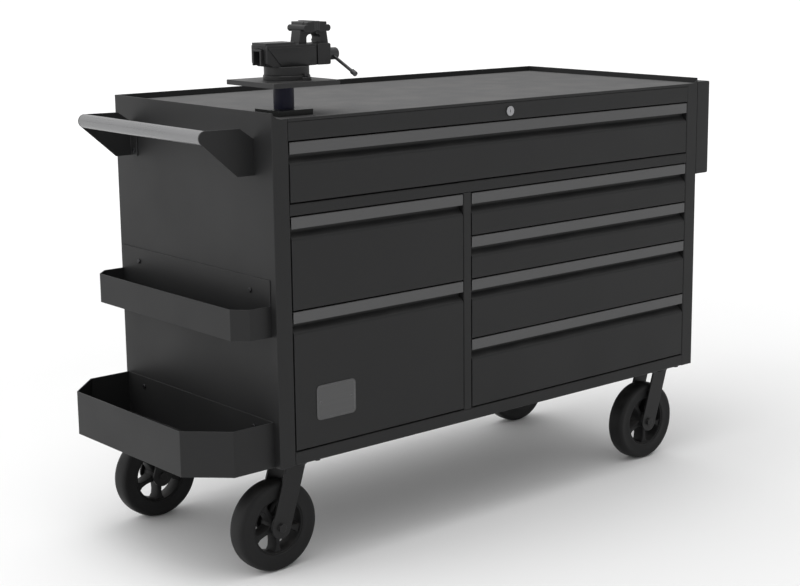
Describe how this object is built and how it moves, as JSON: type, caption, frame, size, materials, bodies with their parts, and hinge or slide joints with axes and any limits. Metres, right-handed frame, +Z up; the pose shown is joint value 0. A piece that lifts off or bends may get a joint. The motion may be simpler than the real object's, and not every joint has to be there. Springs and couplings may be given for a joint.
{
  "type": "rolling tool chest",
  "caption": "Wide rolling tool chest with flush drawers, a push handle, side trays and a bench vise on a pedestal, on swivel casters.",
  "frame": {"origin": "on the floor, under the middle of the whole object's bounding box", "axes": "+Z up; the drawers open towards -Y; +X runs along the chest's length, from the handle end to the side box"},
  "size_m": [1.547, 0.6176, 1.1665],
  "materials": {
    "powder_coat": "fine satin powder coat, charcoal",
    "drawer_pull": "brushed anodised aluminium, dark grey",
    "handle_alu": "satin anodised aluminium",
    "mat": "fine-grained grey rubber",
    "zinc": "bright zinc-plated steel",
    "black_steel": "black semi-gloss paint on pressed steel",
    "wheel": "black polyurethane tread on a black moulded core",
    "fastener": "black oxide steel",
    "lock": "polished chrome",
    "vise_iron": "painted grey cast iron",
    "vise_post": "dark navy gloss paint",
    "vise_plate": "dark grey painted plate",
    "jaw_steel": "blackened serrated tool steel",
    "spindle_steel": "blackened turned steel"
  },
  "bodies": {
    "root": {"side_panel_left": "powder_coat", "side_panel_right": "powder_coat", "side_liners": "powder_coat", "back_panel": "powder_coat", "base_pan": "powder_coat", "worktop_tray": "powder_coat", "worktop_mat": "mat", "header_rail": "powder_coat", "mid_rail": "powder_coat", "bottom_rail": "powder_coat", "centre_divider": "powder_coat", "caster_plates": "black_steel", "cabinet_fasteners": "fastener", "handle_tube": "handle_alu", "handle_brackets": "powder_coat", "upper_side_tray": "powder_coat", "lower_side_tray": "powder_coat", "side_box": "powder_coat", "vise_pedestal": "vise_post", "vise_mount_plate": "vise_plate", "vise_swivel_base": "vise_iron", "slide_fixed_members": "zinc"},
    "drawer_top": {"drawer_top": "powder_coat", "pull_top": "drawer_pull"},
    "slide_top": {"slide_top": "zinc"},
    "drawer_left_upper": {"drawer_left_upper": "powder_coat", "pull_left_upper": "drawer_pull"},
    "slide_left_upper": {"slide_left_upper": "zinc"},
    "drawer_left_lower": {"drawer_left_lower": "powder_coat", "pull_left_lower": "drawer_pull"},
    "slide_left_lower": {"slide_left_lower": "zinc"},
    "drawer_right_1": {"drawer_right_1": "powder_coat", "pull_right_1": "drawer_pull"},
    "slide_right_1": {"slide_right_1": "zinc"},
    "drawer_right_2": {"drawer_right_2": "powder_coat", "pull_right_2": "drawer_pull"},
    "slide_right_2": {"slide_right_2": "zinc"},
    "drawer_right_3": {"drawer_right_3": "powder_coat", "pull_right_3": "drawer_pull"},
    "slide_right_3": {"slide_right_3": "zinc"},
    "drawer_right_4": {"drawer_right_4": "powder_coat", "pull_right_4": "drawer_pull"},
    "slide_right_4": {"slide_right_4": "zinc"},
    "fork_front_left": {"fork_front_left": "black_steel"},
    "wheel_front_left": {"wheel_front_left": "wheel"},
    "fork_front_right": {"fork_front_right": "black_steel"},
    "wheel_front_right": {"wheel_front_right": "wheel"},
    "fork_rear_left": {"fork_rear_left": "black_steel"},
    "wheel_rear_left": {"wheel_rear_left": "wheel"},
    "fork_rear_right": {"fork_rear_right": "black_steel"},
    "wheel_rear_right": {"wheel_rear_right": "wheel"},
    "lock_barrel": {"lock_barrel": "lock"},
    "side_box_lid": {"side_box_lid": "powder_coat"},
    "vise_body": {"vise_body": "vise_iron", "vise_fixed_insert": "jaw_steel"},
    "vise_jaw": {"vise_jaw": "vise_iron", "vise_moving_insert": "jaw_steel"},
    "vise_spindle": {"vise_spindle": "spindle_steel"},
    "vise_bar": {"vise_bar": "spindle_steel"}
  },
  "joints": [
    {"name": "drawer_top_slide", "type": "slide", "parent": "root", "child": "drawer_top", "axis": [0, -1, 0], "range_m": [0, 0.5]},
    {"name": "slide_top_travel", "type": "slide", "parent": "root", "child": "slide_top", "axis": [0, -1, 0], "range_m": [0, 0.25]},
    {"name": "drawer_left_upper_slide", "type": "slide", "parent": "root", "child": "drawer_left_upper", "axis": [0, -1, 0], "range_m": [0, 0.5]},
    {"name": "slide_left_upper_travel", "type": "slide", "parent": "root", "child": "slide_left_upper", "axis": [0, -1, 0], "range_m": [0, 0.25]},
    {"name": "drawer_left_lower_slide", "type": "slide", "parent": "root", "child": "drawer_left_lower", "axis": [0, -1, 0], "range_m": [0, 0.5]},
    {"name": "slide_left_lower_travel", "type": "slide", "parent": "root", "child": "slide_left_lower", "axis": [0, -1, 0], "range_m": [0, 0.25]},
    {"name": "drawer_right_1_slide", "type": "slide", "parent": "root", "child": "drawer_right_1", "axis": [0, -1, 0], "range_m": [0, 0.5]},
    {"name": "slide_right_1_travel", "type": "slide", "parent": "root", "child": "slide_right_1", "axis": [0, -1, 0], "range_m": [0, 0.25]},
    {"name": "drawer_right_2_slide", "type": "slide", "parent": "root", "child": "drawer_right_2", "axis": [0, -1, 0], "range_m": [0, 0.5]},
    {"name": "slide_right_2_travel", "type": "slide", "parent": "root", "child": "slide_right_2", "axis": [0, -1, 0], "range_m": [0, 0.25]},
    {"name": "drawer_right_3_slide", "type": "slide", "parent": "root", "child": "drawer_right_3", "axis": [0, -1, 0], "range_m": [0, 0.5]},
    {"name": "slide_right_3_travel", "type": "slide", "parent": "root", "child": "slide_right_3", "axis": [0, -1, 0], "range_m": [0, 0.25]},
    {"name": "drawer_right_4_slide", "type": "slide", "parent": "root", "child": "drawer_right_4", "axis": [0, -1, 0], "range_m": [0, 0.5]},
    {"name": "slide_right_4_travel", "type": "slide", "parent": "root", "child": "slide_right_4", "axis": [0, -1, 0], "range_m": [0, 0.25]},
    {"name": "swivel_front_left", "type": "hinge", "parent": "root", "child": "fork_front_left", "pos_m": [-0.5195, -0.23419, 0.2349], "axis": [0, 0, 1], "continuous": true},
    {"name": "wheel_front_left_spin", "type": "hinge", "parent": "fork_front_left", "child": "wheel_front_left", "pos_m": [-0.5675, -0.23419, 0.1], "axis": [0, 1, 0], "continuous": true},
    {"name": "swivel_front_right", "type": "hinge", "parent": "root", "child": "fork_front_right", "pos_m": [0.6555, -0.23419, 0.2349], "axis": [0, 0, 1], "continuous": true},
    {"name": "wheel_front_right_spin", "type": "hinge", "parent": "fork_front_right", "child": "wheel_front_right", "pos_m": [0.6075, -0.23419, 0.1], "axis": [0, 1, 0], "continuous": true},
    {"name": "swivel_rear_left", "type": "hinge", "parent": "root", "child": "fork_rear_left", "pos_m": [-0.5195, 0.23981, 0.2349], "axis": [0, 0, 1], "continuous": true},
    {"name": "wheel_rear_left_spin", "type": "hinge", "parent": "fork_rear_left", "child": "wheel_rear_left", "pos_m": [-0.5675, 0.23981, 0.1], "axis": [0, 1, 0], "continuous": true},
    {"name": "swivel_rear_right", "type": "hinge", "parent": "root", "child": "fork_rear_right", "pos_m": [0.6555, 0.23981, 0.2349], "axis": [0, 0, 1], "continuous": true},
    {"name": "wheel_rear_right_spin", "type": "hinge", "parent": "fork_rear_right", "child": "wheel_rear_right", "pos_m": [0.6075, 0.23981, 0.1], "axis": [0, 1, 0], "continuous": true},
    {"name": "lock_turn", "type": "hinge", "parent": "root", "child": "lock_barrel", "pos_m": [0.068, -0.30319, 0.95], "axis": [0, -1, 0], "range_deg": [0, 90]},
    {"name": "side_box_lid_hinge", "type": "hinge", "parent": "root", "child": "side_box_lid", "pos_m": [0.7331, -0.07319, 0.9764], "axis": [0, -1, 0], "range_deg": [0, 90]},
    {"name": "vise_swivel", "type": "hinge", "parent": "root", "child": "vise_body", "pos_m": [-0.4945, -0.22269, 1.048], "axis": [0, 0, 1], "continuous": true},
    {"name": "vise_jaw_slide", "type": "slide", "parent": "vise_body", "child": "vise_jaw", "axis": [1, 0, 0], "range_m": [0, 0.08]},
    {"name": "vise_spindle_turn", "type": "hinge", "parent": "vise_jaw", "child": "vise_spindle", "pos_m": [-0.3945, -0.22269, 1.096], "axis": [1, 0, 0], "range_deg": [0, 4801]},
    {"name": "vise_bar_slide", "type": "slide", "parent": "vise_spindle", "child": "vise_bar", "axis": [0, -0.9063, -0.4226], "range_m": [-0.026, 0]}
  ],
  "couplings": [
    {"joint": "slide_top_travel", "follows": "drawer_top_slide", "ratio": 0.5},
    {"joint": "slide_left_upper_travel", "follows": "drawer_left_upper_slide", "ratio": 0.5},
    {"joint": "slide_left_lower_travel", "follows": "drawer_left_lower_slide", "ratio": 0.5},
    {"joint": "slide_right_1_travel", "follows": "drawer_right_1_slide", "ratio": 0.5},
    {"joint": "slide_right_2_travel", "follows": "drawer_right_2_slide", "ratio": 0.5},
    {"joint": "slide_right_3_travel", "follows": "drawer_right_3_slide", "ratio": 0.5},
    {"joint": "slide_right_4_travel", "follows": "drawer_right_4_slide", "ratio": 0.5},
    {"joint": "vise_spindle_turn", "follows": "vise_jaw_slide", "rad_per_m": 1047.2}
  ]
}
